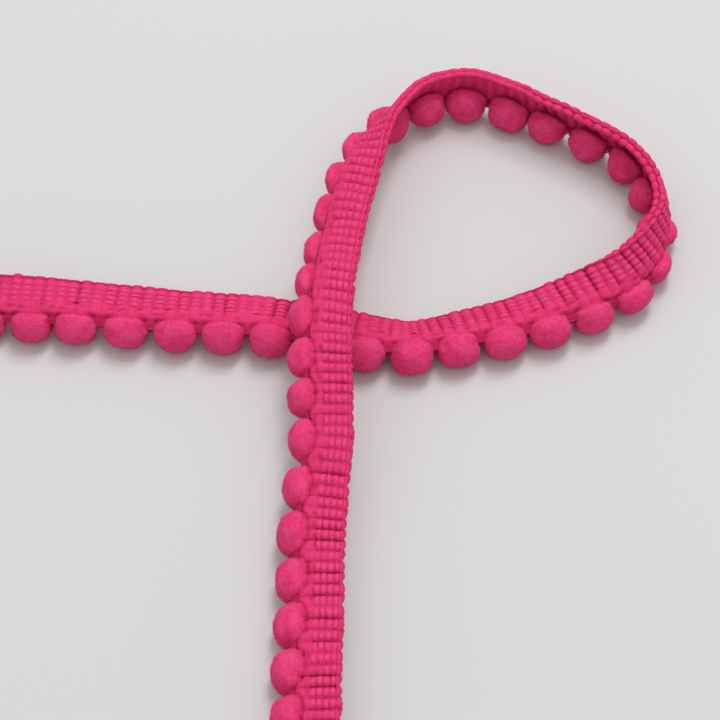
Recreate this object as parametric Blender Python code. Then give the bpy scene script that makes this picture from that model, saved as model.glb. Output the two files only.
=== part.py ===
# Pompom fringe trim: a narrow ribbed braid with a row of cut-pile pompoms bound along one edge.
# A cut length lies in one loop and crosses over itself. Metres, +Z up; the origin is on the floor
# under the middle of the trim.
import math
from collections import namedtuple

import bmesh
import bpy
import numpy as np
from mathutils import Vector, noise

MM = 0.001

# Pompoms. Their spacing is a little uneven: each stretch is so many steps of one pitch, measured
# from centre to centre along the trim, from the left-hand cut end on.
Stretch = namedtuple("Stretch", "steps pitch")
SPACING = [
    Stretch(3, 7.15 * MM),
    Stretch(2, 8.05 * MM),
    Stretch(10, 7.55 * MM),
    Stretch(2, 7.15 * MM),
    Stretch(2, 7.3 * MM),
    Stretch(2, 7.75 * MM),
    Stretch(1, 7.05 * MM),
    Stretch(1, 7.7 * MM),
    Stretch(1, 7.2 * MM),
    Stretch(1, 7.9 * MM),
    Stretch(3, 7.75 * MM),
    Stretch(2, 8.05 * MM),
    Stretch(1, 7.55 * MM),
    Stretch(2, 6.85 * MM),
    Stretch(1, 6.95 * MM),
    Stretch(1, 7.8 * MM),
    Stretch(4, 7.5 * MM),
    Stretch(2, 7.1 * MM),
]
FIRST_POMPOM = 3.6 * MM  # from the left-hand cut end to the first centre
POMPOM_FILL = 0.9  # a pompom's length along the braid, as a share of the pitch there
POMPOM_HEIGHT = 6.5 * MM  # across the braid and through it
POMPOM_STEPS_ROUND = 12
POMPOM_STEPS_HIGH = 8
LUMP = 0.05  # share of the radius by which the pile is uneven
LUMP_SCALE = 1.6
SIZE_SPREAD = 0.04  # share by which one pompom differs from the next
RESTING_HEIGHT = 3.45 * MM  # a pompom whose centre is lower than this stands on the floor

# Braid, measured across from the line of the pompoms' centres
BOUND_EDGE = -0.55 * MM  # the edge that holds the pompoms
FREE_EDGE = 7.4 * MM  # the looped selvedge
BRAID_LIFT = 1.0 * MM  # from the pompoms' centres up to the middle of the braid's edges
ARCH_LEAN = 0.75  # under 1 moves the top of the bow towards the pompoms
RIB_PITCH = 1.85 * MM
RIB_RELIEF = 0.2 * MM  # a rib's crest stands this far above its valley, on each face
LOOP_RELIEF = 0.35 * MM  # how far the selvedge's loops stand out past the valleys
SWELL = 0.3 * MM  # how far the smooth band rises over each pompom
EDGE_TUCK = 0.35 * MM  # how far the bound edge draws in behind each pompom
CLEARANCE = 0.4 * MM  # between the pile and the braid
BOW_CLEARANCE = 0.17  # more of it for each length of bow, because a steep bow lies nearer the pile
SLOT_REACH = (-0.62, -0.26, 0.04, 0.34, 0.62)  # sections of the room for the braid, in pompom lengths

# Half the braid's thickness at each place across it, in the valleys of the ribs. Share is the
# place between the bound edge (0) and the free edge (1); rib is the part of the relief it takes,
# and swell the part of the band's rise over a pompom.
Place = namedtuple("Place", "share half rib swell")
UPPER = [
    Place(0.00, 0.35 * MM, 0.2, 0.3),
    Place(0.22, 0.55 * MM, 0.3, 1.0),
    Place(0.42, 0.62 * MM, 1.0, 0.5),
    Place(0.68, 0.62 * MM, 1.0, 0.0),
    Place(0.92, 0.55 * MM, 1.0, 0.0),
]
LOWER = [
    Place(0.92, 0.55 * MM, 1.0, 0.0),
    Place(0.62, 0.62 * MM, 1.0, 0.0),
    Place(0.28, 0.58 * MM, 0.4, 0.8),
    Place(0.00, 0.35 * MM, 0.2, 0.3),
]

# The line of the pompoms' centres over the floor: x and y from the origin, height above the floor,
# and roll, the angle in degrees by which the braid tips up from level about that line. The loop
# runs anticlockwise, seen from above, and the braid's free edge is on its inner side.
Row = namedtuple("Row", "x y height roll arch")
ROUTE_MM = [
    Row(-61.05, 16.95, 3.1, 24, 0.8),  # left-hand cut end
    Row(-50.3, 15.85, 3.1, 22, 0.8),
    Row(-35.8, 14.75, 3.2, 4, 0.8),
    Row(-20.3, 13.25, 3.3, -3, 0.8),
    Row(-5.3, 12.25, 3.2, -9, 0.8),
    Row(9.7, 9.55, 3.1, -14, 0.8),  # under the other strand
    Row(17.6, 8.95, 3.1, -22, 0.8),
    Row(25.2, 10.35, 3.1, -18, 0.8),
    Row(39.4, 14.05, 3.1, -3, 0.8),
    Row(46.4, 17.05, 3.1, 10, 0.8),  # right-hand bend, where the braid rises on edge
    Row(52.7, 20.95, 3.4, 36, 0.8),
    Row(56.6, 27.15, 3.3, 60, 0.8),
    Row(57.9, 34.35, 3.1, 79, 0.8),
    Row(56.9, 41.55, 3.1, 80, 0.8),  # the back of the loop, standing on its pompoms
    Row(53.7, 47.95, 3.1, 73, 0.8),
    Row(47.9, 52.55, 3.1, 72, 0.8),
    Row(41.5, 56.05, 3.1, 75, 0.8),
    Row(34.6, 59.25, 3.1, 82, 0.8),
    Row(27.6, 61.25, 3.2, 86, 0.8),
    Row(20.4, 59.85, 3.7, 81, 0.6),  # the turn, where the braid lies down again and climbs
    Row(14.1, 55.35, 4.7, 65, 0.1),
    Row(11.7, 52.45, 5.25, 57, 0.1),
    Row(9.7, 49.25, 5.7, 47, 0.5),
    Row(6.8, 41.95, 6.4, 30, 1.7),
    Row(3.55, 27.05, 7.1, 28, 1.5),
    Row(1.3, 11.75, 9.95, 18, 0.9),  # over the lower strand
    Row(1.1, 4.85, 8.9, 16, 0.8),
    Row(1.4, -9.05, 6.1, 18, 0.8),
    Row(0.1, -23.65, 3.8, 12, 0.8),
    Row(-0.1, -38.55, 3.1, 15, 0.8),
    Row(-0.3, -53.45, 3.1, 17, 0.8),
    Row(-0.3, -64.4, 3.1, 17, 0.8),  # front cut end
]
SAMPLES_PER_ROW = 40

Stations = namedtuple("Stations", "centre along across out arch")


def clear_scene():
    for obj in list(bpy.data.objects):
        bpy.data.objects.remove(obj, do_unlink=True)


def make_collection(name):
    collection = bpy.data.collections.new(name)
    bpy.context.scene.collection.children.link(collection)
    return collection


def make_material(name, colour, roughness, sheen):
    material = bpy.data.materials.new(name)
    material.use_nodes = True
    shader = material.node_tree.nodes["Principled BSDF"]
    shader.inputs["Base Color"].default_value = (*colour, 1.0)
    shader.inputs["Roughness"].default_value = roughness
    shader.inputs["Metallic"].default_value = 0.0
    shader.inputs["Sheen Weight"].default_value = sheen
    return material


def smooth_route():
    """Dense samples of x, y, height, roll and arch on a smooth curve through the rows of the route."""
    rows = np.array(ROUTE_MM, float)
    rows[:, 3] = np.radians(rows[:, 3])
    rows[:, [0, 1, 2, 4]] *= MM
    steps = np.linalg.norm(np.diff(rows[:, :3], axis=0), axis=1)
    knots = np.concatenate([[0.0], np.cumsum(steps)])
    slopes = np.gradient(rows, knots, axis=0)
    samples = []
    for i, step in enumerate(steps):
        t = np.linspace(0.0, 1.0, SAMPLES_PER_ROW, endpoint=False)[:, None]
        start = (1 + 2 * t) * (1 - t) ** 2 * rows[i] + t * (1 - t) ** 2 * step * slopes[i]
        end = t**2 * (3 - 2 * t) * rows[i + 1] + t**2 * (t - 1) * step * slopes[i + 1]
        samples.append(start + end)
    samples.append(rows[-1:])
    return np.concatenate(samples)


def route_lengths(samples):
    steps = np.linalg.norm(np.diff(samples[:, :3], axis=0), axis=1)
    return np.concatenate([[0.0], np.cumsum(steps)])


def stations_at(samples, distances):
    """The trim's own axes at each distance along the pompoms' line: along it, across the braid
    towards its free edge, and out through the braid's face."""
    lengths = route_lengths(samples)
    columns = [np.interp(distances, lengths, samples[:, i]) for i in range(5)]
    centre = np.stack(columns[:3], axis=1)
    slopes = np.gradient(samples[:, :3], lengths, axis=0)
    along = np.stack([np.interp(distances, lengths, slopes[:, i]) for i in range(3)], axis=1)
    along /= np.linalg.norm(along, axis=1)[:, None]
    level = np.cross([0.0, 0.0, 1.0], along)
    level /= np.linalg.norm(level, axis=1)[:, None]
    upright = np.cross(along, level)
    roll = columns[3][:, None]
    across = np.cos(roll) * level + np.sin(roll) * upright
    out = np.cross(along, across)
    return Stations(centre, along, across, out, columns[4])


def pompom_distances():
    """How far along the trim each pompom's centre is."""
    distances = [FIRST_POMPOM]
    for stretch in SPACING:
        for _ in range(stretch.steps):
            distances.append(distances[-1] + stretch.pitch)
    return np.array(distances)


def near_pompom(distance):
    """1 where a pompom sits and 0 half-way between two."""
    centres = pompom_distances()
    turns = np.interp(distance, centres, np.arange(len(centres)))
    return 0.5 + 0.5 * math.cos(2 * math.pi * turns)


def braid_edge(over):
    return BOUND_EDGE + EDGE_TUCK * over


def place_point(place, side, rib, over, arch):
    """(across, out) of one place on the braid's upper (side 1) or lower (side -1) face."""
    edge = braid_edge(over)
    across = edge + place.share * (FREE_EDGE - edge)
    bow = arch * math.sin(math.pi * place.share**ARCH_LEAN)
    middle = BRAID_LIFT + bow + SWELL * place.swell * over
    return across, middle + side * (place.half + RIB_RELIEF * place.rib * rib)


def braid_section(distance, rib, arch):
    """The braid's outline, bound edge first, at a rib's crest (rib 1) or valley (rib 0)."""
    over = near_pompom(distance)
    upper = [place_point(place, 1, rib, over, arch) for place in UPPER]
    lower = [place_point(place, -1, rib, over, arch) for place in LOWER]
    selvedge = (FREE_EDGE - LOOP_RELIEF * (1 - rib), BRAID_LIFT)
    return upper + [selvedge] + lower


def slot_section(distance, arch):
    """The outline of the room that the pile leaves for the braid: CLEARANCE under its lower face
    and outside its bound edge, and open above it."""
    over = near_pompom(distance)
    below = [place_point(place, -1, 1.0, over, arch) for place in reversed(LOWER[1:])]
    clearance = CLEARANCE + BOW_CLEARANCE * max(arch - 0.8 * MM, 0.0)
    edge = braid_edge(over) - CLEARANCE
    top = BRAID_LIFT + POMPOM_HEIGHT
    under = [(edge, below[0][1] - clearance)]
    under += [(across, out - clearance) for across, out in below[1:]]
    return [(edge, top)] + under + [(under[-1][0], top)]


def loft(name, stations, sections, collection):
    """A closed skin over one section at each station, with flat ends."""
    bm = bmesh.new()
    rings = []
    for i, section in enumerate(sections):
        ring = []
        for across, out in section:
            point = stations.centre[i] + across * stations.across[i] + out * stations.out[i]
            ring.append(bm.verts.new(point))
        rings.append(ring)
    for ring, following in zip(rings, rings[1:]):
        for k in range(len(ring)):
            bm.faces.new((ring[k - 1], ring[k], following[k], following[k - 1]))
    bm.faces.new(rings[0][::-1])
    bm.faces.new(rings[-1])
    bmesh.ops.recalc_face_normals(bm, faces=bm.faces)
    mesh = bpy.data.meshes.new(name)
    bm.to_mesh(mesh)
    bm.free()
    obj = bpy.data.objects.new(name, mesh)
    collection.objects.link(obj)
    return obj


def make_braid(samples, collection, material):
    length = route_lengths(samples)[-1]
    count = 2 * round(length / RIB_PITCH) + 1
    distances = np.linspace(0.0, length, count)
    stations = stations_at(samples, distances)
    sections = [
        braid_section(distance, i % 2, arch)
        for i, (distance, arch) in enumerate(zip(distances, stations.arch))
    ]
    braid = loft("braid", stations, sections, collection)
    braid.data.shade_smooth()
    braid.data.materials.append(material)
    return braid


def pile_point(direction, number, station, size, length):
    """Where the ball's unit direction lands: along the braid, to its side, and up."""
    seed = Vector((number * 3.7, number * 1.3, 0.0))
    lump = size * (1 + LUMP * noise.noise(Vector(direction) * LUMP_SCALE + seed))
    level_along = Vector((station.along[0][0], station.along[0][1], 0.0)).normalized()
    side = Vector((-level_along.y, level_along.x, 0.0))
    offset = level_along * direction.x * length / 2
    offset += side * direction.y * POMPOM_HEIGHT / 2
    offset += Vector((0.0, 0.0, direction.z * POMPOM_HEIGHT / 2))
    return Vector(station.centre[0]) + lump * offset


def make_pompom(number, samples, collection, cutters, material):
    distances = pompom_distances()
    distance = distances[number]
    length = POMPOM_FILL * np.gradient(distances)[number]
    station = stations_at(samples, np.array([distance]))
    size = 1 + SIZE_SPREAD * noise.noise(Vector((number * 2.3, 5.0, 1.0)))
    bm = bmesh.new()
    bmesh.ops.create_uvsphere(
        bm, u_segments=POMPOM_STEPS_ROUND, v_segments=POMPOM_STEPS_HIGH, radius=1.0
    )
    resting = station.centre[0][2] < RESTING_HEIGHT
    lowest_ring = -math.cos(math.pi / POMPOM_STEPS_HIGH) + 0.01
    for vert in bm.verts:
        sits = resting and vert.co.z < lowest_ring
        vert.co = pile_point(vert.co.copy(), number, station, size, length)
        if sits:
            vert.co.z = 0.0
    name = f"pompom_{number + 1:02d}"
    mesh = bpy.data.meshes.new(name)
    bm.to_mesh(mesh)
    bm.free()
    mesh.shade_smooth()
    mesh.materials.append(material)
    pompom = bpy.data.objects.new(name, mesh)
    collection.objects.link(pompom)
    cut_slot(pompom, distance, length, samples, cutters)


def cut_slot(pompom, distance, length, samples, cutters):
    """Cuts out of a pompom the room for the braid that it is bound to."""
    distances = distance + length * np.array(SLOT_REACH)
    stations = stations_at(samples, distances)
    sections = [slot_section(d, arch) for d, arch in zip(distances, stations.arch)]
    slot = loft(f"slot_{pompom.name}", stations, sections, cutters)
    slot.hide_render = True
    slot.display_type = "WIRE"
    cut = pompom.modifiers.new("braid slot", "BOOLEAN")
    cut.operation = "DIFFERENCE"
    cut.object = slot


def main():
    clear_scene()
    trim = make_collection("pompom_fringe_trim")
    cutters = make_collection("cutters")
    cutters.hide_render = True
    braid_yarn = make_material("braid_yarn", (0.72, 0.045, 0.16), 0.75, 0.2)
    pompom_pile = make_material("pompom_pile", (0.70, 0.03, 0.14), 0.9, 0.5)
    samples = smooth_route()
    make_braid(samples, trim, braid_yarn)
    for number in range(len(pompom_distances())):
        make_pompom(number, samples, trim, cutters, pompom_pile)


main()
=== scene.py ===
import math
from collections import namedtuple

import bmesh
import bpy
import numpy as np
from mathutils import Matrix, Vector, noise


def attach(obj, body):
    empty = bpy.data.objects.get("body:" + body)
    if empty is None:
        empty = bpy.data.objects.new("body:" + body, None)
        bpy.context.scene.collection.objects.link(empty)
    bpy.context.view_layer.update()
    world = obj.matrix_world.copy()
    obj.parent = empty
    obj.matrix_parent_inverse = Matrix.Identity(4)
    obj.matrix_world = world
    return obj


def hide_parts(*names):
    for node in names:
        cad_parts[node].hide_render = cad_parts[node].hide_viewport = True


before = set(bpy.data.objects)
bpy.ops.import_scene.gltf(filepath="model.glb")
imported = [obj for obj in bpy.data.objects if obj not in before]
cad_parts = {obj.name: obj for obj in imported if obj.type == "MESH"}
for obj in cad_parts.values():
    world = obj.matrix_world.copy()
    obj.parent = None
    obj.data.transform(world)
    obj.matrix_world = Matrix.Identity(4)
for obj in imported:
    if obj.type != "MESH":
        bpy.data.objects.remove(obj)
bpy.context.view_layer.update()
mm = 0.001
print("frame loaded:", len(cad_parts), "nodes")


# helpers

def toLinear(hexColour):
    channels = [int(hexColour[i:i + 2], 16) / 255 for i in (1, 3, 5)]
    linear = [c / 12.92 if c <= 0.04045 else ((c + 0.055) / 1.055) ** 2.4 for c in channels]
    return (*linear, 1.0)


def addNode(tree, kind, settings={}, inputs={}):
    node = tree.nodes.new(kind)
    for name, value in settings.items():
        setattr(node, name, value)
    for key, value in inputs.items():
        if isinstance(value, bpy.types.NodeSocket):
            tree.links.new(value, node.inputs[key])
        else:
            node.inputs[key].default_value = value
    return node


def addObject(name, mesh):
    obj = bpy.data.objects.new(name, mesh)
    bpy.context.scene.collection.objects.link(obj)
    return obj


def removeObject(obj):
    bpy.data.objects.remove(obj, do_unlink=True)


def smoothStep(low, high, value):
    share = np.clip((value - low) / (high - low), 0.0, 1.0)
    return share * share * (3 - 2 * share)


def storeVector(mesh, name, vectors):
    attribute = mesh.attributes.new(name, "FLOAT_VECTOR", "POINT")
    attribute.data.foreach_set("vector", np.ascontiguousarray(vectors, np.float32).ravel())


def storeNumber(mesh, name, values):
    attribute = mesh.attributes.new(name, "FLOAT", "POINT")
    attribute.data.foreach_set("value", np.ascontiguousarray(values, np.float32))


def tubeFaces(rings, around, first=0):
    low = np.arange(rings - 1)[:, None] * around + np.arange(around)[None, :]
    high = np.arange(rings - 1)[:, None] * around + (np.arange(around)[None, :] + 1) % around
    faces = np.stack([low, high, high + around, low + around], axis=-1).reshape(-1, 4) + first
    return [tuple(face) for face in faces.tolist()]


def hoopFaces(rings, around, first=0):
    # a tube that also closes on itself along its length
    faces = []
    for i in range(rings):
        here, following = first + i * around, first + (i + 1) % rings * around
        for k in range(around):
            beside = (k + 1) % around
            faces.append((here + k, here + beside, following + beside, following + k))
    return faces


def closedMesh(name, points, faces):
    mesh = bpy.data.meshes.new(name)
    mesh.from_pydata(np.asarray(points).reshape(-1, 3).tolist(), [], faces)
    bm = bmesh.new()
    bm.from_mesh(mesh)
    bmesh.ops.recalc_face_normals(bm, faces=bm.faces)
    bm.to_mesh(mesh)
    bm.free()
    mesh.shade_smooth()
    return mesh


# the route: the line of the pompoms' centres over the floor, how far the braid tips up from level
# and how high it arches across its width, then how far the chain columns have drifted towards the
# free edge, how far that edge has crept along the trim and how deep the valleys between bundles are

routeRow = namedtuple("routeRow", "x y height roll arch drift creep ribbing")
routeRows = [  # mm, with the roll in degrees, the creep in mm per mm of width and the ribbing as a factor
    routeRow(-61.05, 16.95, 3.1, 24, 0.8, 0.0, 0.0, 0.9),  # left-hand cut end
    routeRow(-50.3, 15.85, 3.1, 22, 0.8, 0.0, 0.0, 0.9),
    routeRow(-35.8, 14.75, 3.2, 4, 0.8, 0.0, 0.0, 0.8),
    routeRow(-20.3, 13.25, 3.3, -3, 0.8, 0.0, 0.0, 0.75),
    routeRow(-5.3, 12.25, 3.2, -9, 0.8, 0.0, 0.0, 0.75),
    routeRow(9.7, 9.55, 3.1, -14, 0.8, 0.0, 0.0, 0.8),  # under the other strand
    routeRow(17.6, 8.95, 3.1, -22, 0.8, 0.0, 0.0, 0.8),
    routeRow(25.2, 10.35, 3.1, -18, 0.8, 0.0, 0.0, 0.85),
    routeRow(39.4, 14.05, 3.1, -3, 0.8, 0.0, 0.0, 0.95),
    routeRow(46.4, 17.05, 3.1, 10, 0.8, 0.0, 0.0, 1.15),  # right-hand bend
    routeRow(52.7, 20.95, 3.4, 36, 0.8, 0.0, 0.0, 1.25),
    routeRow(56.6, 27.15, 3.3, 60, 0.8, 0.0, 0.0, 1.25),
    routeRow(57.9, 34.35, 3.1, 79, 0.8, 0.0, 0.0, 1.3),
    routeRow(56.9, 41.55, 3.1, 80, 0.8, 0.0, 0.0, 1.35),  # back of the loop, on its edge
    routeRow(53.7, 47.95, 3.1, 73, 0.8, 0.0, 0.0, 1.4),
    routeRow(47.9, 52.55, 3.1, 72, 0.8, 0.0, 0.0, 1.4),
    routeRow(41.5, 56.05, 3.1, 75, 0.8, 0.0, 0.0, 1.2),
    routeRow(34.6, 59.25, 3.1, 82, 0.8, 0.0, 0.0, 0.55),
    routeRow(27.6, 61.25, 3.2, 86, 0.8, 0.0, 0.0, 0.5),
    routeRow(20.4, 59.85, 3.7, 81, 0.6, 0.0, 0.0, 0.6),  # the turn
    routeRow(14.1, 55.35, 4.7, 65, 0.1, 0.1, 0.0, 0.7),
    routeRow(11.7, 52.45, 5.25, 57, 0.1, 0.15, 0.0, 0.8),
    routeRow(9.7, 49.25, 5.7, 47, 0.5, 0.2, 0.0, 0.85),
    routeRow(6.8, 41.95, 6.4, 30, 1.7, 0.15, 0.05, 0.9),
    routeRow(3.55, 27.05, 7.1, 28, 1.5, 0.25, 0.12, 0.85),
    routeRow(1.3, 11.75, 9.95, 18, 0.9, 0.45, 0.18, 0.8),  # over the lower strand
    routeRow(1.1, 4.85, 8.9, 16, 0.8, 0.45, 0.14, 0.9),
    routeRow(1.4, -9.05, 6.1, 18, 0.8, 0.45, 0.1, 1.0),
    routeRow(0.1, -23.65, 3.8, 12, 0.8, 0.5, 0.06, 1.1),
    routeRow(-0.1, -38.55, 3.1, 15, 0.8, 0.5, 0.04, 1.15),
    routeRow(-0.3, -53.45, 3.1, 17, 0.8, 0.45, 0.03, 1.1),
    routeRow(-0.3, -64.4, 3.1, 17, 0.8, 0.45, 0.0, 1.1),  # front cut end
]
pompomRun = namedtuple("pompomRun", "steps pitch")
pompomRuns = [  # so many steps of one pitch in mm, from the left-hand end on
    pompomRun(3, 7.15), pompomRun(2, 8.05), pompomRun(10, 7.55), pompomRun(2, 7.15), pompomRun(2, 7.3),
    pompomRun(2, 7.75), pompomRun(1, 7.05), pompomRun(1, 7.7), pompomRun(1, 7.2), pompomRun(1, 7.9),
    pompomRun(3, 7.75), pompomRun(2, 8.05), pompomRun(1, 7.55), pompomRun(2, 6.85), pompomRun(1, 6.95),
    pompomRun(1, 7.8), pompomRun(4, 7.5), pompomRun(2, 7.1),
]
firstPompom = 3.6  # mm from the left-hand end


def smoothRoute(samplesPerRow=40):
    rows = np.array(routeRows, float)
    rows[:, :3] *= mm
    rows[:, 3] = np.radians(rows[:, 3])
    steps = np.linalg.norm(np.diff(rows[:, :3], axis=0), axis=1)
    knots = np.concatenate([[0.0], np.cumsum(steps)])
    slopes = np.gradient(rows, knots, axis=0)
    samples = []
    for i, step in enumerate(steps):
        t = np.linspace(0.0, 1.0, samplesPerRow, endpoint=False)[:, None]
        start = (1 + 2 * t) * (1 - t) ** 2 * rows[i] + t * (1 - t) ** 2 * step * slopes[i]
        end = t**2 * (3 - 2 * t) * rows[i + 1] + t**2 * (t - 1) * step * slopes[i + 1]
        samples.append(start + end)
    samples.append(rows[-1:])
    return np.concatenate(samples)


def routeCurve(samples):
    curve = bpy.data.curves.new("trimRoute", "CURVE")
    curve.dimensions = "3D"
    curve.twist_mode = "Z_UP"
    spline = curve.splines.new("POLY")
    spline.points.add(len(samples) - 1)
    places = np.concatenate([samples[:, :3], np.ones((len(samples), 1))], axis=1)
    spline.points.foreach_set("co", places.ravel())
    spline.points.foreach_set("tilt", samples[:, 3])
    return addObject("trimRoute", curve)


routeSamples = smoothRoute()
routeSteps = np.linalg.norm(np.diff(routeSamples[:, :3], axis=0), axis=1) / mm
routeAlong = np.concatenate([[0.0], np.cumsum(routeSteps)])
routeLength = float(routeAlong[-1])
route = routeCurve(routeSamples)
pompomSteps = [run.pitch for run in pompomRuns for _ in range(run.steps)]
pompomAt = firstPompom + np.concatenate([[0.0], np.cumsum(pompomSteps)])  # mm along the trim
pompomPitch = np.gradient(pompomAt)
print("route:", round(routeLength, 1), "mm,", len(pompomAt), "pompoms")


# The pieces are made on a straight strip in mm: x along the trim, y across the braid from the
# pompoms' line and z out of its face. layAlongRoute then puts the strip on the route.

def layAlongRoute():
    tree = bpy.data.node_groups.new("layAlongRoute", "GeometryNodeTree")
    tree.interface.new_socket("Strip", in_out="INPUT", socket_type="NodeSocketGeometry")
    tree.interface.new_socket("Route", in_out="INPUT", socket_type="NodeSocketObject")
    tree.interface.new_socket("Laid", in_out="OUTPUT", socket_type="NodeSocketGeometry")
    given = addNode(tree, "NodeGroupInput")
    line = addNode(tree, "GeometryNodeObjectInfo", inputs={"Object": given.outputs["Route"]})
    place = addNode(tree, "GeometryNodeInputPosition")
    strip = addNode(tree, "ShaderNodeSeparateXYZ", inputs={0: place.outputs[0]})
    station = addNode(
        tree, "GeometryNodeSampleCurve", {"mode": "LENGTH", "use_all_curves": True},
        {"Curves": line.outputs["Geometry"], "Length": strip.outputs["X"]})
    away = addNode(tree, "ShaderNodeMath", {"operation": "MULTIPLY"}, {0: strip.outputs["Y"], 1: -1.0})
    aside = addNode(
        tree, "ShaderNodeVectorMath", {"operation": "SCALE"},
        {0: station.outputs["Normal"], "Scale": away.outputs[0]})
    outward = addNode(
        tree, "ShaderNodeVectorMath", {"operation": "CROSS_PRODUCT"},
        {0: station.outputs["Normal"], 1: station.outputs["Tangent"]})
    up = addNode(
        tree, "ShaderNodeVectorMath", {"operation": "SCALE"},
        {0: outward.outputs[0], "Scale": strip.outputs["Z"]})
    across = addNode(
        tree, "ShaderNodeVectorMath", {"operation": "ADD"},
        {0: station.outputs["Position"], 1: aside.outputs[0]})
    laid = addNode(
        tree, "ShaderNodeVectorMath", {"operation": "ADD"}, {0: across.outputs[0], 1: up.outputs[0]})
    moved = addNode(
        tree, "GeometryNodeSetPosition",
        inputs={"Geometry": given.outputs["Strip"], "Position": laid.outputs[0]})
    addNode(tree, "NodeGroupOutput", inputs={"Laid": moved.outputs[0]})
    return tree


layTree = layAlongRoute()


def startTree(name, inputs):
    tree = bpy.data.node_groups.new(name, "GeometryNodeTree")
    tree.interface.new_socket("Geometry", in_out="INPUT", socket_type="NodeSocketGeometry")
    for label, kind in inputs.items():
        tree.interface.new_socket(label, in_out="INPUT", socket_type=kind)
    tree.interface.new_socket("Geometry", in_out="OUTPUT", socket_type="NodeSocketGeometry")
    return tree, addNode(tree, "NodeGroupInput")


def endTree(tree, given, strip):
    laid = addNode(
        tree, "GeometryNodeGroup", {"node_tree": layTree}, {"Strip": strip, "Route": given.outputs["Route"]})
    real = addNode(tree, "GeometryNodeRealizeInstances", inputs={0: laid.outputs[0]})
    coloured = addNode(
        tree, "GeometryNodeSetMaterial",
        inputs={"Geometry": real.outputs[0], "Material": given.outputs["Material"]})
    addNode(tree, "NodeGroupOutput", inputs={0: coloured.outputs[0]})


def laidPiece(name, strip, tree, sizes):
    # runs the tree on the strip and keeps the result as a plain mesh
    modifier = strip.modifiers.new("lay", "NODES")
    modifier.node_group = tree
    for socket in tree.interface.items_tree:
        if socket.in_out == "INPUT" and socket.name in sizes:
            modifier[socket.identifier] = sizes[socket.name]
    bpy.context.view_layer.update()
    mesh = bpy.data.meshes.new_from_object(strip.evaluated_get(bpy.context.evaluated_depsgraph_get()))
    mesh.name = name
    removeObject(strip)
    return addObject(name, mesh)


# materials

def stripPattern(tree, attribute, scale, detail, roughness=0.5):
    # noise in the piece's own coordinates, stretched by scale (cycles per mm)
    coords = addNode(tree, "ShaderNodeAttribute", {"attribute_name": attribute})
    stretched = addNode(
        tree, "ShaderNodeMapping", inputs={"Vector": coords.outputs["Vector"], "Scale": scale})
    return addNode(
        tree, "ShaderNodeTexNoise",
        inputs={"Vector": stretched.outputs[0], "Scale": 1.0, "Detail": detail, "Roughness": roughness})


def dyedFibre(name, attribute, look):
    material = bpy.data.materials.new(name)
    material.use_nodes = True
    tree = material.node_tree
    shader = tree.nodes["Principled BSDF"]
    fibres = stripPattern(tree, attribute, look["fibreScale"], 2.0)
    patches = stripPattern(tree, attribute, look["patchScale"], 2.0)
    streaks = addNode(
        tree, "ShaderNodeMapRange", inputs={0: fibres.outputs[0], 1: 0.3, 2: 0.7, 3: 0.0, 4: 1.0})
    dyed = addNode(
        tree, "ShaderNodeMix", {"data_type": "RGBA"},
        {0: streaks.outputs[0], 6: toLinear(look["deep"]), 7: toLinear(look["bright"])})
    cloudy = addNode(
        tree, "ShaderNodeMapRange",
        inputs={0: patches.outputs[0], 1: 0.3, 2: 0.7, 3: 0.0, 4: look["patchShare"]})
    faded = addNode(
        tree, "ShaderNodeMix", {"data_type": "RGBA"},
        {0: cloudy.outputs[0], 6: dyed.outputs[2], 7: toLinear(look["faded"])})
    depth = addNode(tree, "ShaderNodeAttribute", {"attribute_name": "paintedShade"})
    colour = addNode(  # painted shade: the colour goes darker deep between the yarns, where shade falls
        tree, "ShaderNodeMix", {"data_type": "RGBA"},
        {0: depth.outputs["Fac"], 6: faded.outputs[2], 7: toLinear(look["paintedShade"])})
    tree.links.new(colour.outputs[2], shader.inputs["Base Color"])
    bump = addNode(
        tree, "ShaderNodeBump",
        inputs={"Height": fibres.outputs[0], "Strength": look["bumpStrength"],
                "Distance": look["fibreRelief"] * mm})
    tree.links.new(bump.outputs[0], shader.inputs["Normal"])
    shader.inputs["Roughness"].default_value = look["roughness"]
    shader.inputs["Sheen Weight"].default_value = look["sheen"]
    shader.inputs["Sheen Roughness"].default_value = 0.4
    shader.inputs["Sheen Tint"].default_value = toLinear(look["sheenTint"])
    shader.inputs["Specular IOR Level"].default_value = look["specular"]
    return material


# the fourth colour of each look is painted shade, mixed in as far as the stored shade amount says
# spun polyester weft: soft shine, fine filaments that run across the braid
weftLook = {
    "deep": "#D2225E", "bright": "#E23674", "faded": "#E84884", "paintedShade": "#AE184A",
    "fibreScale": (4.0, 1.8, 3.0), "patchScale": (0.5, 0.9, 0.5), "patchShare": 0.35,
    "bumpStrength": 0.35, "fibreRelief": 0.08,
    "roughness": 0.75, "sheen": 0.05, "sheenTint": "#FF8FB0", "specular": 0.2,
}
# chain yarn: the same fibre, drawn tight, so its twist runs along the trim; its colours are lighter than the
# weft's as a painted highlight on the stitches
chainLook = {
    "deep": "#DC306C", "bright": "#EC4886", "faded": "#F25C98", "paintedShade": "#B61E50",
    "fibreScale": (1.5, 6.0, 6.0), "patchScale": (0.6, 0.6, 0.6), "patchShare": 0.3,
    "bumpStrength": 0.4, "fibreRelief": 0.05,
    "roughness": 0.7, "sheen": 0.0, "sheenTint": "#FF8FB0", "specular": 0.12,
}
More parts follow.
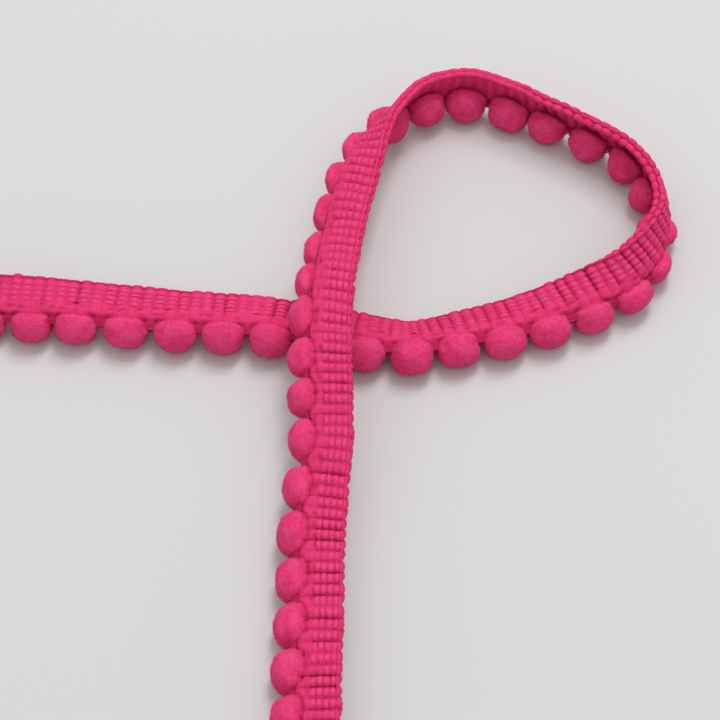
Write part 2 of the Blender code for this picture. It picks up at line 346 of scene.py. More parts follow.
# cut acrylic pile, brushed to a ball: matte and velvety, faint streaks where the tufts lie over
pileLook = {
    "deep": "#D62A66", "bright": "#EC4280", "faded": "#F25C96", "paintedShade": "#AE184A",
    "fibreScale": (1.8, 2.5, 2.5), "patchScale": (0.35, 0.5, 0.5), "patchShare": 0.4,
    "bumpStrength": 0.35, "fibreRelief": 0.12,
    "roughness": 0.9, "sheen": 0.3, "sheenTint": "#FF8FB0", "specular": 0.15,
}
weftYarn = dyedFibre("knittedPolyesterWeft", "strip", weftLook)
chainYarn = dyedFibre("knittedPolyesterChain", "strip", chainLook)
pileYarn = dyedFibre("cutAcrylicPile", "pile", pileLook)
print("materials made")


# how each pompom sits: its radius in mm, the share of the pitch that its ball fills, how blunt its ends
# are (2 is round), how far its pile laps over the band as a share of the radius, how much that lap is
# pressed down, and how far the crease round it runs (0 at its shoulders only, 1 all round)

pompomLie = namedtuple("pompomLie", "number radius fill blunt lap press crease")
pompomLies = [  # numbers without a row lie in between
    pompomLie(0, 3.16, 0.9, 2.25, 0.42, 0.45, 0.1),
    pompomLie(16, 3.16, 0.9, 2.2, 0.42, 0.45, 0.1),
    pompomLie(18, 3.2, 0.85, 2.1, 0.36, 0.4, 0.1),
    pompomLie(20, 3.2, 0.87, 2.1, 0.3, 0.4, 0.1),
    pompomLie(22, 3.3, 0.93, 2.1, 0.3, 0.4, 0.1),
    pompomLie(24, 3.3, 0.93, 2.1, 0.2, 0.5, 1.0),
    pompomLie(25, 3.3, 1.0, 2.1, 0.1, 0.1, 1.0),
    pompomLie(26, 3.2, 0.94, 2.1, 0.05, 0.7, 1.0),
    pompomLie(28, 3.12, 0.92, 2.2, 0.08, 0.9, 1.0),
    pompomLie(30, 3.06, 0.92, 2.2, 0.2, 0.8, 1.0),
    pompomLie(31, 3.08, 0.92, 2.2, 0.45, 0.4, 1.0),
    pompomLie(32, 3.12, 0.92, 2.2, 0.6, 0.2, 1.0),
    pompomLie(36, 3.3, 0.92, 2.2, 0.6, 0.15, 1.0),
    pompomLie(37, 3.3, 0.92, 2.2, 0.7, 0.15, 1.0),
    pompomLie(41, 3.34, 0.92, 2.2, 0.7, 0.15, 1.0),
]


def lieAt(number):
    lies = np.array(pompomLies)
    return pompomLie(number, *(np.interp(number, lies[:, 0], column) for column in lies.T[1:]))


# the braid: weft bundles side by side, laid over and under and turned round at the free edge

braid = {
    "boundEdge": -0.3, "freeEdge": 7.4,  # mm across from the pompoms' line
    "boundTip": -0.55, "edgeTuck": 0.2, "tuckReach": 2.0,
    "lift": 1.0, "archLean": 0.75,  # how far it lies above the pompoms' centres, and where it arches
    "swell": 0.12, "swellAt": (0.0, 0.22, 0.42, 0.68), "swellShare": (0.3, 1.0, 0.5, 0.0),
    "driftAt": (0.8, 2.6, 6.1, 7.0), "driftShare": (0, 1, 1, 0),
    "ribsPerPompom": 4, "endRibs": (1.8, 1.9),
    "crest": (1.8, 0.9), "bead": (2.4, 0.5),  # powers that set how round a bundle and its end are
    "plumpUneven": 0.08, "valleyUneven": (0.45, 1.2), "deepestUpper": 1.3, "deepestLower": 1.2,
    "columns": (3.15, 4.13, 5.11, 6.09), "columnPitch": 0.98, "columnGroove": 0.06, "grooveWidth": 0.12,
    "columnBand": (3, 6.4), "columnHalf": 0.4,
    "bindGroove": 0.5, "bindPlace": 0.6, "bindWidth": 0.2,  # the binding draws the band in between pompoms
    "notchPower": 1.5, "notchBand": 0.5,
    "upperLump": 0.1, "upperLumpSize": (1.3, 1.1), "lowerLump": 0.04, "lowerLumpSize": (1.1, 0.9),
    "skew": 0.1, "skewSize": 2.5, "skewStep": 1.7,
    "loopRelief": 0.4, "loopPinch": 0.2, "loopUneven": 0.14,  # how the ends draw in between two bundles
    "endsAt": 7.0,
    "edgeUpper": {"centre": 0.4, "radius": 0.56, "turns": (75, 45, 15, -22, -64), "inner": -64},
    "edgeLower": {"centre": -0.52, "radius": 0.6, "turns": (64, 22, -15, -45, -75), "inner": 64},
    "boundRound": ((-0.5, -0.2), (-0.55, 0.0), (-0.5, 0.2)),  # across, and height over the middle
    "seed": 7,
}
# the crease round a pompom's pile: reach, fade and shoulder are shares of half the ball's length
moat = {
    "depth": 0.36, "width": 0.22, "reach": 1.1, "fade": 0.2, "shoulder": (0.4, 0.8),
    "lapShare": 0.75, "outside": 0.15, "upTo": 3,
}
# short dashes where the tying threads pull the band in: some over each pompom, one at each of its ends
pits = {
    "depth": 0.3, "size": (0.55, 0.16), "perPompom": 4, "along": (-3.6, 3.6), "across": (1.3, 2.7),
    "notchAlong": (2.6, 3.2), "notchAcross": (0.4, 0.8), "reach": 1.2,
}
# painted shade laid into each kind of hollow: valley, moat, binding and underside per mm of depth
paintedShadeWeight = {
    "valley": 1.7, "moat": 1.4, "binding": 1.3, "pit": 0.8, "columns": 0.3, "notch": 0.9,
    "bundleEnd": 0.55, "betweenEnds": 0.35, "underside": 2.0, "boundEdge": 0.3,
}
# half the thickness at a bundle's crest, and how deep the valley between two bundles is, both in mm
braidPlace = namedtuple("braidPlace", "across half valley")
upperFace = [
    braidPlace(-0.45, 0.32, 0.1),
    braidPlace(0.0, 0.5, 0.12),
    braidPlace(0.7, 0.6, 0.18),
    braidPlace(1.3, 0.66, 0.22),
    braidPlace(2.3, 0.7, 0.32),
    braidPlace(2.75, 0.66, 0.48),
    braidPlace(5.6, 0.66, 0.5),
    braidPlace(6.5, 0.72, 0.42),
    braidPlace(6.95, 0.78, 0.42),
]
lowerFace = [
    braidPlace(-0.45, 0.36, 0.08),
    braidPlace(1.6, 0.64, 0.3),
    braidPlace(5.3, 0.68, 0.42),
    braidPlace(6.4, 0.62, 0.42),
    braidPlace(6.9, 0.72, 0.45),
]
alongInRib = (0.0, 0.06, 0.16, 0.3, 0.44, 0.5, 0.56, 0.7, 0.84, 0.94)  # sections of a bundle, as shares of it
upperAcross = (-0.4, -0.2, 0.0, 0.2, 0.4, 0.6, 0.8, 1.0, 1.2, 1.4, 1.6, 1.8, 2.05, 2.35,
               2.66, 3.15, 3.64, 4.13, 4.62, 5.11, 5.6, 6.09, 6.5, 6.95)
lowerAcross = (6.85, 6.5, 6.1, 5.6, 5.1, 4.6, 4.1, 3.6, 3.1, 2.6, 2.0, 1.3, 0.5, -0.3)


def overPompom(along):
    turns = np.interp(along, pompomAt, np.arange(len(pompomAt)))
    return 0.5 + 0.5 * np.cos(2 * np.pi * turns)


def ribEdges():
    before, after = braid["endRibs"]
    edges = [pompomAt[0] - before]
    for here, following in zip(pompomAt, pompomAt[1:]):
        edges += list(np.linspace(here, following, braid["ribsPerPompom"], endpoint=False))
    edges += [pompomAt[-1], pompomAt[-1] + after]
    edges = [0.0] + edges + [routeLength]
    return np.array(edges)


def crest(share):
    # a bundle's rounded back: 0 in the valley, 1 on top
    inner, outer = braid["crest"]
    return float((1 - np.abs(2 * (share % 1.0) - 1) ** inner) ** outer)


def bead(share):
    # a bundle's end where it turns round at the edge, with a narrower and steeper gap to the next one
    inner, outer = braid["bead"]
    return float((1 - np.abs(2 * (share % 1.0) - 1) ** inner) ** outer)


def faceAt(places, across):
    columns = np.array(places, float)
    half = np.interp(across, columns[:, 0], columns[:, 1])
    valley = np.interp(across, columns[:, 0], columns[:, 2])
    return half, valley


def middleAt(along, across):
    # height of the middle of the braid's thickness
    share = np.clip((across - braid["boundEdge"]) / (braid["freeEdge"] - braid["boundEdge"]), 0.0, 1.0)
    arch = np.interp(along, routeAlong, routeSamples[:, 4])
    swelling = np.interp(share, braid["swellAt"], braid["swellShare"])
    return braid["lift"] + arch * np.sin(np.pi * share ** braid["archLean"]) \
        + braid["swell"] * swelling * overPompom(along)


def drawnTo(along, across):
    # where a point of the level, square braid has gone: the columns drift and the free edge creeps
    drift, creep = (np.interp(along, routeAlong, routeSamples[:, k]) for k in (5, 6))
    drifting = np.interp(across, braid["driftAt"], braid["driftShare"])
    return along + creep * max(across, 0.0), across + drift * drifting


def pompomMoat(along, across):
    # the band dips where a pompom's pile presses into it
    number = int(round(float(np.interp(along, pompomAt, np.arange(len(pompomAt))))))
    lie = lieAt(number)
    share = (along - pompomAt[number]) / (0.5 * lie.fill * pompomPitch[number])
    if abs(share) > moat["reach"]:
        return 0.0
    wall = moat["lapShare"] * lie.lap * lie.radius * math.sqrt(max(0.0, 1 - share**2))
    shoulder = float(smoothStep(*moat["shoulder"], abs(share)))
    deep = moat["depth"] * (lie.crease + (1 - lie.crease) * shoulder)
    deep *= min(1.0, (moat["reach"] - abs(share)) / moat["fade"])
    return deep * math.exp(-((across - wall - moat["outside"]) / moat["width"]) ** 2)


def columnGroove(across):
    nearest = [abs(across - (c - braid["columnPitch"] / 2)) for c in braid["columns"]]
    nearest.append(abs(across - (braid["columns"][-1] + braid["columnPitch"] / 2)))
    return braid["columnGroove"] * math.exp(-(min(nearest) / braid["grooveWidth"]) ** 2)


def pitPlaces(random):
    places = []
    for at in pompomAt:
        for _ in range(pits["perPompom"]):
            places.append((at + random.uniform(*pits["along"]), random.uniform(*pits["across"])))
    for side in (1, -1):
        for at in pompomAt:
            beside = random.uniform(*pits["notchAlong"])
            places.append((at + side * beside, random.uniform(*pits["notchAcross"])))
    return np.array(sorted(places))


def upperPoints(along, plump, upper, pitted):
    # points over the braid's face, each with its place across, its height and its painted shade;
    # endPoints, lowerPoints and boundPoints give those round the rest of the section
    over = float(overPompom(along))
    notch = (1 - over) ** braid["notchPower"]
    near = pitted[np.abs(pitted[:, 0] - along) < pits["reach"]]
    pitLong, pitWide = pits["size"]
    lumpLong, lumpWide = braid["upperLumpSize"]
    bandFrom, bandTo = braid["columnBand"]
    ring = []
    for across in upperAcross:
        half, valley = faceAt(upperFace, across)
        bind = braid["bindGroove"] * notch \
            * math.exp(-((across - braid["bindPlace"]) / braid["bindWidth"]) ** 2)
        dip = pompomMoat(along, across) if across < moat["upTo"] else 0.0
        lump = braid["upperLump"] * noise.noise(Vector((along / lumpLong, across / lumpWide, 0.0)))
        pit = sum(math.exp(-((along - x) / pitLong) ** 2 - ((across - y) / pitWide) ** 2) for x, y in near)
        height = middleAt(along, across) + half * plump - valley * upper - columnGroove(across) + lump
        height -= pits["depth"] * pit + dip + bind
        # painted shade: darker colour in the valleys, the moat, the binding groove and the pits
        paintedShade = paintedShadeWeight["valley"] * valley * upper**2 + paintedShadeWeight["moat"] * dip \
            + paintedShadeWeight["binding"] * bind + paintedShadeWeight["pit"] * pit
        # painted shade between the chain columns and at the notches between pompoms
        toColumn = min(abs(across - column) for column in braid["columns"])
        if bandFrom < across < bandTo and toColumn > braid["columnHalf"]:
            paintedShade += paintedShadeWeight["columns"]
        if across < braid["notchBand"]:
            paintedShade += paintedShadeWeight["notch"] * notch
        ring.append((across, height, paintedShade))
    return ring


def endPoints(along, lobe, gap, reach, ribbing):
    # the free edge shows two rows of bundle ends, one from each face
    radius = lobe["radius"] - braid["loopPinch"] * gap
    tip = braid["freeEdge"] + reach - braid["loopRelief"] * gap
    spread = 0.5 + 0.5 * min(ribbing, 1.0)  # drawn tight, the two rows close into one
    ring = []
    for turn in lobe["turns"]:
        angle = math.radians(turn)
        height = middleAt(along, braid["endsAt"]) + spread * lobe["centre"] + radius * math.sin(angle)
        # painted shade in the gaps between bundle ends, and more on the inner turn
        paintedShade = paintedShadeWeight["bundleEnd"] * gap**2
        if turn == lobe["inner"]:
            paintedShade += paintedShadeWeight["betweenEnds"] * min(ribbing, 1.0) ** 3
        ring.append((tip - radius + radius * math.cos(angle), height, paintedShade))
    return ring


def lowerPoints(along, lower):
    lumpLong, lumpWide = braid["lowerLumpSize"]
    ring = []
    for across in lowerAcross:
        half, valley = faceAt(lowerFace, across)
        lump = braid["lowerLump"] * noise.noise(Vector((along / lumpLong, across / lumpWide, 4.0)))
        height = middleAt(along, across) - half + valley * lower + lump
        # painted shade in the valleys of the underside
        ring.append((across, height, paintedShadeWeight["underside"] * valley * lower**2))
    return ring


def boundPoints(along):
    # painted shade round the bound edge
    return [(across, middleAt(along, across) + height, paintedShadeWeight["boundEdge"])
            for across, height in braid["boundRound"]]


def braidStrip():
    random = np.random.default_rng(braid["seed"])
    edges = ribEdges()
    ribs = len(edges) - 1
    plump = 1 + braid["plumpUneven"] * random.standard_normal(ribs)  # no two bundles are quite alike
    reach = braid["loopUneven"] * random.standard_normal(ribs)
    depth = random.uniform(*braid["valleyUneven"], ribs + 1)  # nor two valleys
    pitted = pitPlaces(random)
    sections = [(j, share) for j in range(ribs) for share in alongInRib] + [(ribs - 1, 1.0)]
    points, paintedShades = [], []
    for j, share in sections:
        along = edges[j] + share * (edges[j + 1] - edges[j])
        ribbing = np.interp(along, routeAlong, routeSamples[:, 7])
        uneven = (depth[j] if share < 0.5 else depth[j + 1]) * ribbing
        upper = (1 - crest(share)) * min(uneven, braid["deepestUpper"])
        lower = (1 - crest(share + 0.5)) * min(depth[j] * ribbing, braid["deepestLower"])
        upperGap = (1 - bead(share)) * uneven
        lowerGap = (1 - bead(share + 0.5)) * depth[j] * ribbing
        out = reach[j] * math.sin(math.pi * share)
        ring = upperPoints(along, plump[j], upper, pitted) \
            + endPoints(along, braid["edgeUpper"], upperGap, out, ribbing) \
            + endPoints(along, braid["edgeLower"], lowerGap, out, ribbing) \
            + lowerPoints(along, lower) + boundPoints(along)
        tuck = braid["edgeTuck"] * float(overPompom(along))
        for across, height, paintedShade in ring:
            skewAt = Vector((j * braid["skewStep"], across / braid["skewSize"], 2.0))
            shift = braid["skew"] * noise.noise(skewAt)
            alongDrawn, acrossDrawn = drawnTo(along + shift, across)
            tucked = tuck * max(0.0, 1 - (across - braid["boundTip"]) / braid["tuckReach"])
            points.append((alongDrawn, acrossDrawn + tucked, height))
            paintedShades.append(paintedShade)
    around = len(points) // len(sections)
    faces = tubeFaces(len(sections), around)
    faces.append(tuple(range(around)))
    faces.append(tuple(range(len(points) - around, len(points))))
    mesh = closedMesh("braidStrip", np.array(points) * mm, faces)
    storeVector(mesh, "strip", points)
    storeNumber(mesh, "paintedShade", np.clip(paintedShades, 0.0, 1.0))
    return addObject("braidStrip", mesh)


layOnly, layOnlyInput = startTree("layStrip", {"Route": "NodeSocketObject", "Material": "NodeSocketMaterial"})
endTree(layOnly, layOnlyInput, layOnlyInput.outputs["Geometry"])
braidPiece = laidPiece("braid_weft", braidStrip(), layOnly, {"Route": route, "Material": weftYarn})
print("braid:", len(braidPiece.data.polygons), "faces")


# the chain columns: a loop of yarn drawn over each bundle, on both faces

chain = {
    "length": 1.87, "overlap": 0.97, "halfWidth": 0.15, "taper": 0.2, "yarnRadius": 0.22, "flatness": 0.62,
    "rise": 0.07, "dip": 0.6, "dipPower": 2.2, "paintedShade": 0.9, "pathSteps": 11, "yarnSides": 5,
    "uneven": 0.2, "skew": (0.08, 0.06, 0.1), "slopeReach": 0.3, "seed": 3,
}


def chainLoop():
    steps, sides = chain["pathSteps"], chain["yarnSides"]
    turns = np.linspace(0, 2 * np.pi, steps, endpoint=False)
    half = chain["length"] * chain["overlap"] / 2
    x = half * np.cos(turns)
    y = chain["halfWidth"] * np.sin(turns) * (1 - chain["taper"] * np.cos(turns))
    z = chain["rise"] - chain["dip"] * np.abs(x / half) ** chain["dipPower"] - chain["yarnRadius"] / 2
    path = np.stack([x, y, z], axis=1)
    along = np.roll(path, -1, axis=0) - np.roll(path, 1, axis=0)
    along /= np.linalg.norm(along, axis=1)[:, None]
    side = np.cross([0.0, 0.0, 1.0], along)
    side /= np.linalg.norm(side, axis=1)[:, None]
    upward = np.cross(along, side)
    points = []
    for i in range(steps):
        for k in range(sides):
            angle = 2 * np.pi * k / sides
            offset = side[i] * np.cos(angle) + chain["flatness"] * upward[i] * np.sin(angle)
            points.append(path[i] + chain["yarnRadius"] * offset)
    mesh = closedMesh("chainLoop", np.array(points) * mm, hoopFaces(steps, sides))
    # painted shade at the loop's ends, where it dips into the valley between bundles
    storeNumber(mesh, "paintedShade", np.repeat(chain["paintedShade"] * np.abs(x / half) ** 3, sides))
    return addObject("chainLoop", mesh)


def chainPoints():
    edges = ribEdges()
    reach = chain["slopeReach"]
    places, stretch, lean = [], [], []
    for j in range(1, len(edges) - 2):
        middle, length = (edges[j] + edges[j + 1]) / 2, edges[j + 1] - edges[j]
        for column in braid["columns"]:
            for side, face in ((1, upperFace), (-1, lowerFace)):
                along = middle if side > 0 else edges[j]
                height = middleAt(along, column) + side * faceAt(face, column)[0]
                rise = middleAt(along, column + reach) - middleAt(along, column - reach)
                slope = rise / (2 * reach)
                places.append((*drawnTo(along, column), height))
                stretch.append(length / chain["length"])
                lean.append((math.atan(slope) + (math.pi if side < 0 else 0.0), 0.0, 0.0))
    mesh = bpy.data.meshes.new("chainPoints")
    mesh.from_pydata((np.array(places) * mm).tolist(), [], [])
    storeNumber(mesh, "stretch", stretch)
    storeVector(mesh, "lean", lean)
    return addObject("chainPoints", mesh)


def chainTree():
    tree, given = startTree("chainColumns", {
        "Loop": "NodeSocketObject", "Unevenness": "NodeSocketFloat", "Seed": "NodeSocketInt",
        "Route": "NodeSocketObject", "Material": "NodeSocketMaterial"})
    loop = addNode(tree, "GeometryNodeObjectInfo", inputs={"Object": given.outputs["Loop"]})
    stretch = addNode(tree, "GeometryNodeInputNamedAttribute", {"data_type": "FLOAT"}, {"Name": "stretch"})
    lean = addNode(tree, "GeometryNodeInputNamedAttribute", {"data_type": "FLOAT_VECTOR"}, {"Name": "lean"})
    lower = addNode(
        tree, "ShaderNodeMath", {"operation": "SUBTRACT"}, {0: 1.0, 1: given.outputs["Unevenness"]})
    upper = addNode(tree, "ShaderNodeMath", {"operation": "ADD"}, {0: 1.0, 1: given.outputs["Unevenness"]})
    size = addNode(
        tree, "FunctionNodeRandomValue", {"data_type": "FLOAT"},
        {2: lower.outputs[0], 3: upper.outputs[0], "Seed": given.outputs["Seed"]})
    scale = addNode(
        tree, "ShaderNodeCombineXYZ",
        inputs={0: stretch.outputs[0], 1: size.outputs[1], 2: size.outputs[1]})
    skew = addNode(
        tree, "FunctionNodeRandomValue", {"data_type": "FLOAT_VECTOR"},
        {0: tuple(-angle for angle in chain["skew"]), 1: chain["skew"], "Seed": given.outputs["Seed"]})
    turned = addNode(
        tree, "ShaderNodeVectorMath", {"operation": "ADD"}, {0: lean.outputs[0], 1: skew.outputs[0]})
    placed = addNode(
        tree, "GeometryNodeInstanceOnPoints",
        inputs={"Points": given.outputs["Geometry"], "Instance": loop.outputs["Geometry"],
                "Rotation": turned.outputs[0], "Scale": scale.outputs[0]})
    real = addNode(tree, "GeometryNodeRealizeInstances", inputs={0: placed.outputs[0]})
    position = addNode(tree, "GeometryNodeInputPosition")
    inMm = addNode(
        tree, "ShaderNodeVectorMath", {"operation": "SCALE"}, {0: position.outputs[0], "Scale": 1 / mm})
    marked = addNode(
        tree, "GeometryNodeStoreNamedAttribute", {"data_type": "FLOAT_VECTOR", "domain": "POINT"},
        {"Geometry": real.outputs[0], "Name": "strip", "Value": inMm.outputs[0]})
    endTree(tree, given, marked.outputs[0])
    return tree


loopShape = chainLoop()
chainPiece = laidPiece("braid_chains", chainPoints(), chainTree(), {
    "Loop": loopShape, "Unevenness": chain["uneven"], "Seed": chain["seed"],
    "Route": route, "Material": chainYarn})
removeObject(loopShape)
print("chains:", len(chainPiece.data.polygons), "faces")


# the pompoms: cut pile bound to the edge between them, with a lip that lies over the smooth band

pompom = {
    "stepsAlong": 20, "stepsAround": 40,
    "lump": 0.1, "lumpScale": 1.6, "ripple": 0.045, "rippleScale": 6.0, "sizeSpread": 0.05,
    # the lip draws in over the band between these shares of the height, and is pressed down above the seat
    "lapRise": (0.1, 0.42), "seat": 1.15, "pressBefore": (0.5, 0.04),
    "patternRadius": 3.3, "patternStep": 9.0,  # so that the streaks differ from ball to ball
}
pile = {  # mm, and tufts per square mm
    "length": 0.27, "lengths": (0.45, 1.2), "width": 0.07, "density": 22.0, "lean": 0.5,
    "seed": 11, "lengthSeed": 5,
}


def pompomStrip(name, numbers):
    points, coords, faces = [], [], []
    reach, step = pompom["patternRadius"], pompom["patternStep"]
    for number in numbers:
        first = len(points)
        _, radius, fill, blunt, lap, press, _ = lieAt(number)
        length = fill * pompomPitch[number]
        # each ball reads its own part of the noise
        size = 1 + pompom["sizeSpread"] * noise.noise(Vector((number * 2.3, 5.0, 1.0)))
        seed = Vector((number * 3.7, number * 1.3, 0.0))
        for i in range(1, pompom["stepsAlong"]):
            polar = math.pi * i / pompom["stepsAlong"]
            for k in range(pompom["stepsAround"]):
                angle = 2 * math.pi * k / pompom["stepsAround"]
                out = Vector((
                    -math.cos(polar), math.sin(polar) * math.cos(angle), math.sin(polar) * math.sin(angle)))
                lump = size * (1 + pompom["lump"] * noise.noise(out * pompom["lumpScale"] + seed)
                               + pompom["ripple"] * noise.noise(out * pompom["rippleScale"] + seed))
                wide = math.sin(polar) ** (2 / blunt - 1)
                x, y, z = out * lump * radius
                x *= max(abs(out.x), 1e-6) ** (2 / blunt - 1) * length / 2 / radius
                y, z = y * wide, z * wide
                if y > 0 and z > 0:
                    y *= 1 - (1 - lap) * float(smoothStep(*pompom["lapRise"], out.z))
                if z > pompom["seat"]:
                    near, far = pompom["pressBefore"]
                    sunk = press * float(smoothStep(lap - near, lap - far, out.y))
                    z = pompom["seat"] + (z - pompom["seat"]) * (1 - sunk)
                points.append((pompomAt[number] + x, y, z))
                coords.append((x + number * step, reach * math.cos(angle), reach * math.sin(angle)))
        rings = pompom["stepsAlong"] - 1
        faces += tubeFaces(rings, pompom["stepsAround"], first)
        for ring, sign in ((0, -1), (rings - 1, 1)):
            pole = len(points)
            start = first + ring * pompom["stepsAround"]
            points.append((pompomAt[number] + sign * size * length / 2, 0.0, 0.0))
            coords.append((sign * reach + number * step, 0.0, 0.0))
            for k in range(pompom["stepsAround"]):
                faces.append((pole, start + k, start + (k + 1) % pompom["stepsAround"]))
    mesh = closedMesh(name, np.array(points) * mm, faces)
    storeVector(mesh, "pile", coords)
    return addObject(name, mesh)


def pileFibre():
    # a three-sided spike of unit height
    corners = [(0.5 * math.cos(a), 0.5 * math.sin(a), 0.0) for a in (0, 2 * math.pi / 3, 4 * math.pi / 3)]
    mesh = bpy.data.meshes.new("pileFibre")
    mesh.from_pydata(corners + [(0.0, 0.0, 1.0)], [], [(0, 1, 3), (1, 2, 3), (2, 0, 3)])
    mesh.shade_smooth()
    return addObject("pileFibre", mesh)


def pileTree():
    tree, given = startTree("cutPile", {
        "Fibre": "NodeSocketObject", "Density": "NodeSocketFloat", "Length": "NodeSocketFloat",
        "Width": "NodeSocketFloat", "Lean": "NodeSocketFloat", "Seed": "NodeSocketInt",
        "Route": "NodeSocketObject", "Material": "NodeSocketMaterial"})
    fibre = addNode(tree, "GeometryNodeObjectInfo", inputs={"Object": given.outputs["Fibre"]})
    roots = addNode(
        tree, "GeometryNodeDistributePointsOnFaces", {"distribute_method": "RANDOM"},
        {"Mesh": given.outputs["Geometry"], "Density": given.outputs["Density"],
         "Seed": given.outputs["Seed"]})
    stray = addNode(
        tree, "FunctionNodeRandomValue", {"data_type": "FLOAT_VECTOR"},
        {0: (-1.0, -1.0, -1.0), 1: (1.0, 1.0, 1.0), "Seed": given.outputs["Seed"]})
    leaning = addNode(
        tree, "ShaderNodeVectorMath", {"operation": "SCALE"},
        {0: stray.outputs[0], "Scale": given.outputs["Lean"]})
    aim = addNode(
        tree, "ShaderNodeVectorMath", {"operation": "ADD"},
        {0: roots.outputs["Normal"], 1: leaning.outputs[0]})
    turn = addNode(tree, "FunctionNodeAlignRotationToVector", {"axis": "Z"}, {"Vector": aim.outputs[0]})
    shortest, longest = pile["lengths"]
    share = addNode(
        tree, "FunctionNodeRandomValue", {"data_type": "FLOAT"},
        {2: shortest, 3: longest, "Seed": pile["lengthSeed"]})
    length = addNode(
        tree, "ShaderNodeMath", {"operation": "MULTIPLY"}, {0: share.outputs[1], 1: given.outputs["Length"]})
    scale = addNode(
        tree, "ShaderNodeCombineXYZ",
        inputs={0: given.outputs["Width"], 1: given.outputs["Width"], 2: length.outputs[0]})
    placed = addNode(
        tree, "GeometryNodeInstanceOnPoints",
        inputs={"Points": roots.outputs["Points"], "Instance": fibre.outputs["Geometry"],
                "Rotation": turn.outputs[0], "Scale": scale.outputs[0]})
    real = addNode(tree, "GeometryNodeRealizeInstances", inputs={0: placed.outputs[0]})
    joined = addNode(tree, "GeometryNodeJoinGeometry")
    tree.links.new(given.outputs["Geometry"], joined.inputs[0])
    tree.links.new(real.outputs[0], joined.inputs[0])
    endTree(tree, given, joined.outputs[0])
    return tree


def restOnFloor(obj, soft=0.5 * mm):
    # pile that would reach into the floor is pressed flat against it
    count = len(obj.data.vertices)
    places = np.empty(count * 3, np.float32)
    obj.data.vertices.foreach_get("co", places)
    places = places.reshape(-1, 3)
    low = places[:, 2] < soft
    places[low, 2] = soft * np.exp((places[low, 2] - soft) / soft)
    obj.data.vertices.foreach_set("co", places.ravel())
    obj.data.update()


fibreShape = pileFibre()
tuftTree = pileTree()
pompomPieces = []
groups = np.array_split(np.arange(len(pompomAt)), 4)
for index, numbers in enumerate(groups):
    strip = pompomStrip(f"pompomStrip{index}", numbers)
    piece = laidPiece(f"pompoms_{index + 1}", strip, tuftTree, {
        "Fibre": fibreShape, "Density": pile["density"] * 1e6, "Length": pile["length"] * mm,
        "Width": pile["width"] * mm, "Lean": pile["lean"], "Seed": pile["seed"] + index,
        "Route": route, "Material": pileYarn})
    restOnFloor(piece)
    pompomPieces.append((piece, numbers))
    print("pompoms:", piece.name, len(piece.data.polygons), "faces")
removeObject(fibreShape)


# the pile yarn runs on between the pompoms as a short neck, tied to the braid's edge

neck = {
    "radius": 0.42, "waist": 0.75, "across": 0.3, "height": 0.2, "reach": 0.34,
    "twist": 0.5, "plies": 4, "plyDepth": 0.12, "paintedShade": 0.95, "sides": 12, "rings": 7,
}
tie = {
    "radius": 0.62, "yarnRadius": 0.1, "apart": 0.2, "slant": 0.3, "paintedShade": 0.6, "steps": 14, "sides": 5,
}


def neckStrip():
    points, coords, faces = [], [], []
    reach = pompom["patternRadius"]
    for here, following in zip(pompomAt, pompomAt[1:]):
        first = len(points)
        inset = neck["reach"] * (following - here)
        start, end = here + inset, following - inset
        for i in range(neck["rings"]):
            share = i / (neck["rings"] - 1)
            wide = neck["radius"] * (neck["waist"] + (1 - neck["waist"]) * (2 * share - 1) ** 2)
            for k in range(neck["sides"]):
                twist = neck["twist"] * share
                angle = 2 * math.pi * k / neck["sides"] + twist
                bulge = wide * (1 + neck["plyDepth"] * math.cos(neck["plies"] * (angle - twist)))
                points.append((start + share * (end - start), neck["across"] + bulge * math.cos(angle),
                               neck["height"] + bulge * math.sin(angle)))
                coords.append((points[-1][0], reach * math.cos(angle), reach * math.sin(angle)))
        faces += tubeFaces(neck["rings"], neck["sides"], first)
        faces.append(tuple(range(first, first + neck["sides"])))
        faces.append(tuple(range(len(points) - neck["sides"], len(points))))
    mesh = closedMesh("neckStrip", np.array(points) * mm, faces)
    storeVector(mesh, "pile", coords)
    # painted shade: the whole neck takes most of the shade colour
    storeNumber(mesh, "paintedShade", [neck["paintedShade"]] * len(points))
    return addObject("neckStrip", mesh)


def tieStrip():
    points, faces = [], []
    sides = tie["sides"]
    for here, following in zip(pompomAt, pompomAt[1:]):
        for offset in (-tie["apart"], tie["apart"]):
            first = len(points)
            for i in range(tie["steps"]):
                turn = 2 * math.pi * i / tie["steps"]
                slant = tie["slant"] * noise.noise(Vector((here, offset * 9, 1.0)))
                centre = Vector(((here + following) / 2 + offset + slant * 2 * math.sin(turn),
                                 neck["across"] + tie["radius"] * math.cos(turn),
                                 neck["height"] + tie["radius"] * math.sin(turn)))
                ray = Vector((0.0, math.cos(turn), math.sin(turn)))
                for k in range(sides):
                    angle = 2 * math.pi * k / sides
                    points.append(tuple(centre + tie["yarnRadius"] * (
                        ray * math.cos(angle) + Vector((1.0, 0.0, 0.0)) * math.sin(angle))))
            faces += hoopFaces(tie["steps"], sides, first)
    mesh = closedMesh("tieStrip", np.array(points) * mm, faces)
    storeVector(mesh, "strip", points)
    # painted shade: the ties take part of the shade colour
    storeNumber(mesh, "paintedShade", [tie["paintedShade"]] * len(points))
    return addObject("tieStrip", mesh)


neckPiece = laidPiece("pile_necks", neckStrip(), layOnly, {"Route": route, "Material": pileYarn})
tiePiece = laidPiece("edge_ties", tieStrip(), layOnly, {"Route": route, "Material": weftYarn})
removeObject(route)
print("necks and ties made")


# fitting to the frame

for piece in [braidPiece, chainPiece, neckPiece, tiePiece] + [p for p, _ in pompomPieces]:
    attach(piece, "root")
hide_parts("braid")
for piece, numbers in pompomPieces:
    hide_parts(*[f"pompom_{number + 1:02d}" for number in numbers])


# floor, light and camera

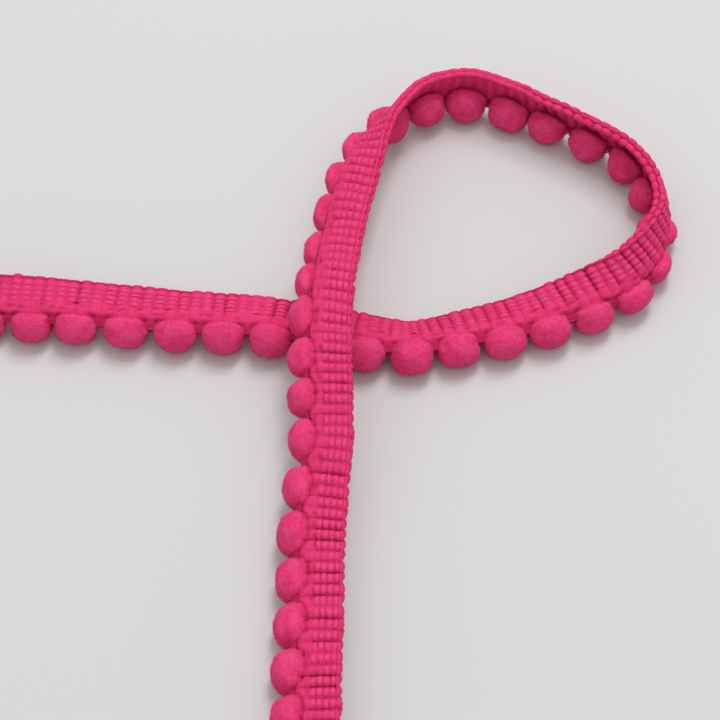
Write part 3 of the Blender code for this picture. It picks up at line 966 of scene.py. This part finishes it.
studio = {
    "floorColour": "#CFCFCF", "floorSize": 4.0,
    "worldColour": "#FFFFFF", "worldStrength": 0.6,
    "keyPlace": (0.15, 0.36, 0.85), "keySize": (0.26, 0.5), "keyPower": 3.85,
    "ceilingHeight": 1.2, "ceilingSize": (2.2, 2.2), "ceilingPower": 4.65,
}
view = {  # mm and degrees
    "target": (9.2, 10.15, 0.0), "elevation": 55.76, "distance": 355.675, "lens": 111.55,
}


def makeFloor():
    bm = bmesh.new()
    bmesh.ops.create_grid(bm, x_segments=1, y_segments=1, size=studio["floorSize"] / 2)
    mesh = bpy.data.meshes.new("floor")
    bm.to_mesh(mesh)
    bm.free()
    paper = bpy.data.materials.new("matteWhiteCard")
    paper.use_nodes = True
    shader = paper.node_tree.nodes["Principled BSDF"]
    shader.inputs["Base Color"].default_value = toLinear(studio["floorColour"])
    shader.inputs["Roughness"].default_value = 0.9
    shader.inputs["Specular IOR Level"].default_value = 0.2
    mesh.materials.append(paper)
    floor = addObject("floor", mesh)


def softbox(name, place, size, power):
    lamp = bpy.data.lights.new(name, "AREA")
    lamp.shape = "RECTANGLE"
    lamp.size, lamp.size_y = size
    lamp.energy = power
    obj = addObject(name, lamp)
    obj.location = place
    obj.rotation_euler = (-Vector(place)).to_track_quat("-Z", "Y").to_euler()


def makeLight():
    world = bpy.data.worlds.new("studio")
    bpy.context.scene.world = world
    world.use_nodes = True
    background = world.node_tree.nodes["Background"]
    background.inputs["Color"].default_value = toLinear(studio["worldColour"])
    background.inputs["Strength"].default_value = studio["worldStrength"]
    softbox("key", studio["keyPlace"], studio["keySize"], studio["keyPower"])
    softbox("ceiling", (0.0, 0.0, studio["ceilingHeight"]), studio["ceilingSize"], studio["ceilingPower"])


def makeCamera():
    camera = bpy.data.cameras.new("camera")
    camera.lens = view["lens"]
    camera.sensor_width = 36.0
    camera.clip_start, camera.clip_end = 0.01, 10.0
    obj = addObject("camera", camera)
    tilt = math.radians(view["elevation"])
    x, y, z = (value * mm for value in view["target"])
    reach = view["distance"] * mm
    obj.location = (x, y - math.cos(tilt) * reach, z + math.sin(tilt) * reach)
    obj.rotation_euler = (math.pi / 2 - tilt, 0.0, 0.0)
    bpy.context.scene.camera = obj


makeFloor()
makeLight()
makeCamera()
bpy.context.scene.view_settings.view_transform = "Standard"
print("studio ready")
